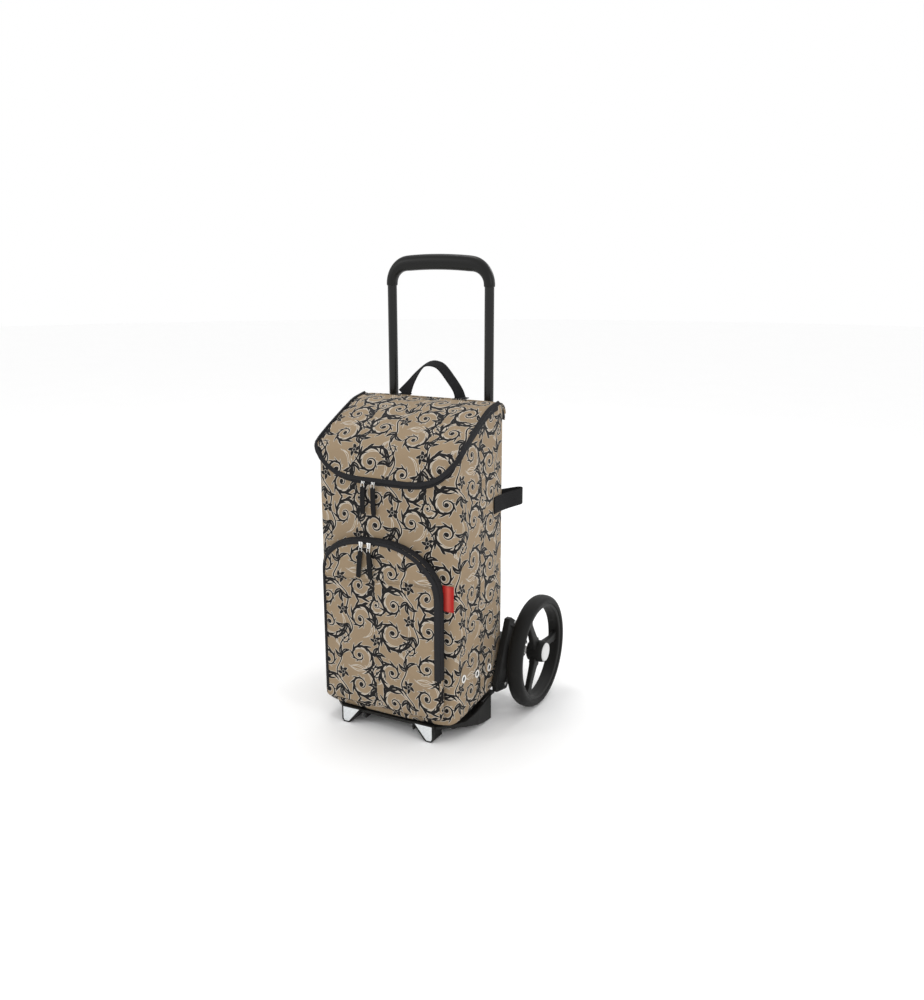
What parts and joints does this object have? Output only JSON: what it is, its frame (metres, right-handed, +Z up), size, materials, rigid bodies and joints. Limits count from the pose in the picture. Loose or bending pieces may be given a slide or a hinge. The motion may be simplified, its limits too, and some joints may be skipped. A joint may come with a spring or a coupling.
{
  "type": "shopping trolley",
  "caption": "Two-wheeled shopping trolley: rack with telescopic U handle and folding platform, and a tall zipped fabric bag with front pocket",
  "frame": {"origin": "on the ground, at the centre of the outline's bottom", "axes": "+Z up, +Y towards the wheels and handle, -Y is the front with the pocket, +X to the right seen from the front"},
  "size_m": [0.512, 0.4433, 1.03],
  "materials": {
    "handle_paint": "gloss black paint",
    "grip": "satin black moulding",
    "moulded_black": "fine-grained black moulding",
    "tyre": "matt black tyre",
    "steel": "bright zinc",
    "cap_silver": "pale silver",
    "reflector": "white reflector with a fine grid",
    "printed_fabric": "taupe woven polyester with a black and pale grey scroll print",
    "charcoal_tape": "charcoal zip tape and binding",
    "black_webbing": "black woven webbing",
    "zip_metal": "nickel-plated",
    "red_label": "plain red woven label",
    "eyelet_white": "white ring",
    "board": "black stiffening board"
  },
  "bodies": {
    "rack": {"lower_tube_left": "handle_paint", "lower_tube_right": "handle_paint", "tube_collar_left": "moulded_black", "tube_collar_right": "moulded_black", "tube_boot_left": "moulded_black", "tube_boot_right": "moulded_black", "axle_bracket_left": "moulded_black", "axle_bracket_right": "moulded_black", "upper_cross_bar": "moulded_black", "lower_cross_bar": "moulded_black", "axle_tube": "steel", "hinge_rod": "steel"},
    "handle": {"handle_tube": "handle_paint", "handle_grip": "grip", "tube_plug_left": "moulded_black", "tube_plug_right": "moulded_black"},
    "lock_left": {"lock_button_left": "moulded_black"},
    "lock_right": {"lock_button_right": "moulded_black"},
    "axle_unit_left": {"stub_axle_left": "steel"},
    "axle_unit_right": {"stub_axle_right": "steel"},
    "wheel_left": {"tyre_left": "tyre", "rim_left": "moulded_black", "hub_bush_inner_left": "moulded_black", "hub_bush_outer_left": "moulded_black"},
    "wheel_right": {"tyre_right": "tyre", "rim_right": "moulded_black", "hub_bush_inner_right": "moulded_black", "hub_bush_outer_right": "moulded_black"},
    "cap_left": {"hub_cap_left": "cap_silver"},
    "cap_right": {"hub_cap_right": "cap_silver"},
    "platform": {"base_platform": "moulded_black", "front_foot_left": "moulded_black", "front_foot_right": "moulded_black", "reflector_left": "reflector", "reflector_right": "reflector"},
    "bag": {"bag_shell": "printed_fabric", "bottom_board": "board", "main_zip_band": "charcoal_tape", "pocket_gusset": "charcoal_tape", "carry_strap": "black_webbing", "side_label": "red_label", "side_loop_left": "black_webbing", "side_loop_right": "black_webbing", "eyelet_left_1": "eyelet_white", "eyelet_left_2": "eyelet_white", "eyelet_left_3": "eyelet_white", "eyelet_right_1": "eyelet_white", "eyelet_right_2": "eyelet_white", "eyelet_right_3": "eyelet_white", "main_slider_left": "zip_metal", "main_slider_right": "zip_metal"},
    "lid": {"lid_panel": "printed_fabric", "lid_zip_band": "charcoal_tape"},
    "pocket": {"pocket_panel": "printed_fabric", "pocket_slider_left": "zip_metal", "pocket_slider_right": "zip_metal"},
    "main_tab_left": {"main_pull_left": "black_webbing"},
    "main_tab_right": {"main_pull_right": "black_webbing"},
    "pocket_tab_left": {"pocket_pull_left": "black_webbing"},
    "pocket_tab_right": {"pocket_pull_right": "black_webbing"}
  },
  "joints": [
    {"name": "handle_slide", "type": "slide", "parent": "rack", "child": "handle", "axis": [0, 0, 1], "range_m": [-0.395, 0]},
    {"name": "lock_left_press", "type": "slide", "parent": "rack", "child": "lock_left", "axis": [0, -1, 0], "range_m": [0, 0.004], "stiffness_N_per_m": 400, "springref_m": -0.002},
    {"name": "lock_right_press", "type": "slide", "parent": "rack", "child": "lock_right", "axis": [0, -1, 0], "range_m": [0, 0.004], "stiffness_N_per_m": 400, "springref_m": -0.002},
    {"name": "wheel_left_off", "type": "slide", "parent": "rack", "child": "axle_unit_left", "axis": [-1, 0, 0], "range_m": [0, 0.09]},
    {"name": "wheel_right_off", "type": "slide", "parent": "rack", "child": "axle_unit_right", "axis": [1, 0, 0], "range_m": [0, 0.09]},
    {"name": "wheel_left_spin", "type": "hinge", "parent": "axle_unit_left", "child": "wheel_left", "pos_m": [-0.23, 0.0905, 0.131], "axis": [1, 0, 0], "continuous": true},
    {"name": "wheel_right_spin", "type": "hinge", "parent": "axle_unit_right", "child": "wheel_right", "pos_m": [0.23, 0.0905, 0.131], "axis": [1, 0, 0], "continuous": true},
    {"name": "cap_left_press", "type": "slide", "parent": "wheel_left", "child": "cap_left", "axis": [1, 0, 0], "range_m": [0, 0.003], "stiffness_N_per_m": 400, "springref_m": -0.002},
    {"name": "cap_right_press", "type": "slide", "parent": "wheel_right", "child": "cap_right", "axis": [-1, 0, 0], "range_m": [0, 0.003], "stiffness_N_per_m": 400, "springref_m": -0.002},
    {"name": "bag_lift", "type": "slide", "parent": "rack", "child": "bag", "axis": [0, -0.3, 0.9539], "range_m": [0, 0.46]},
    {"name": "base_fold", "type": "hinge", "parent": "rack", "child": "platform", "pos_m": [0, 0.046, 0.05], "axis": [-1, 0, 0], "range_deg": [0, 90]},
    {"name": "lid_open", "type": "hinge", "parent": "bag", "child": "lid", "pos_m": [0, 0.001, 0.7195], "axis": [-1, 0, 0], "range_deg": [0, 92]},
    {"name": "pocket_open", "type": "hinge", "parent": "bag", "child": "pocket", "pos_m": [0, -0.2102, 0.062], "axis": [1, 0, 0], "range_deg": [0, 75]},
    {"name": "main_tab_left_swing", "type": "hinge", "parent": "bag", "child": "main_tab_left", "pos_m": [-0.049, -0.2021, 0.5622], "axis": [-1, 0, 0], "range_deg": [0, 120]},
    {"name": "main_tab_right_swing", "type": "hinge", "parent": "bag", "child": "main_tab_right", "pos_m": [-0.024, -0.2021, 0.5622], "axis": [-1, 0, 0], "range_deg": [0, 120]},
    {"name": "pocket_tab_left_swing", "type": "hinge", "parent": "pocket", "child": "pocket_tab_left", "pos_m": [-0.046, -0.221, 0.4262], "axis": [-1, 0, 0], "range_deg": [0, 120]},
    {"name": "pocket_tab_right_swing", "type": "hinge", "parent": "pocket", "child": "pocket_tab_right", "pos_m": [-0.026, -0.221, 0.4262], "axis": [-1, 0, 0], "range_deg": [0, 120]}
  ],
  "couplings": [
    {"joint": "base_fold", "follows": "bag_lift", "rad_per_m": 3.4147}
  ]
}
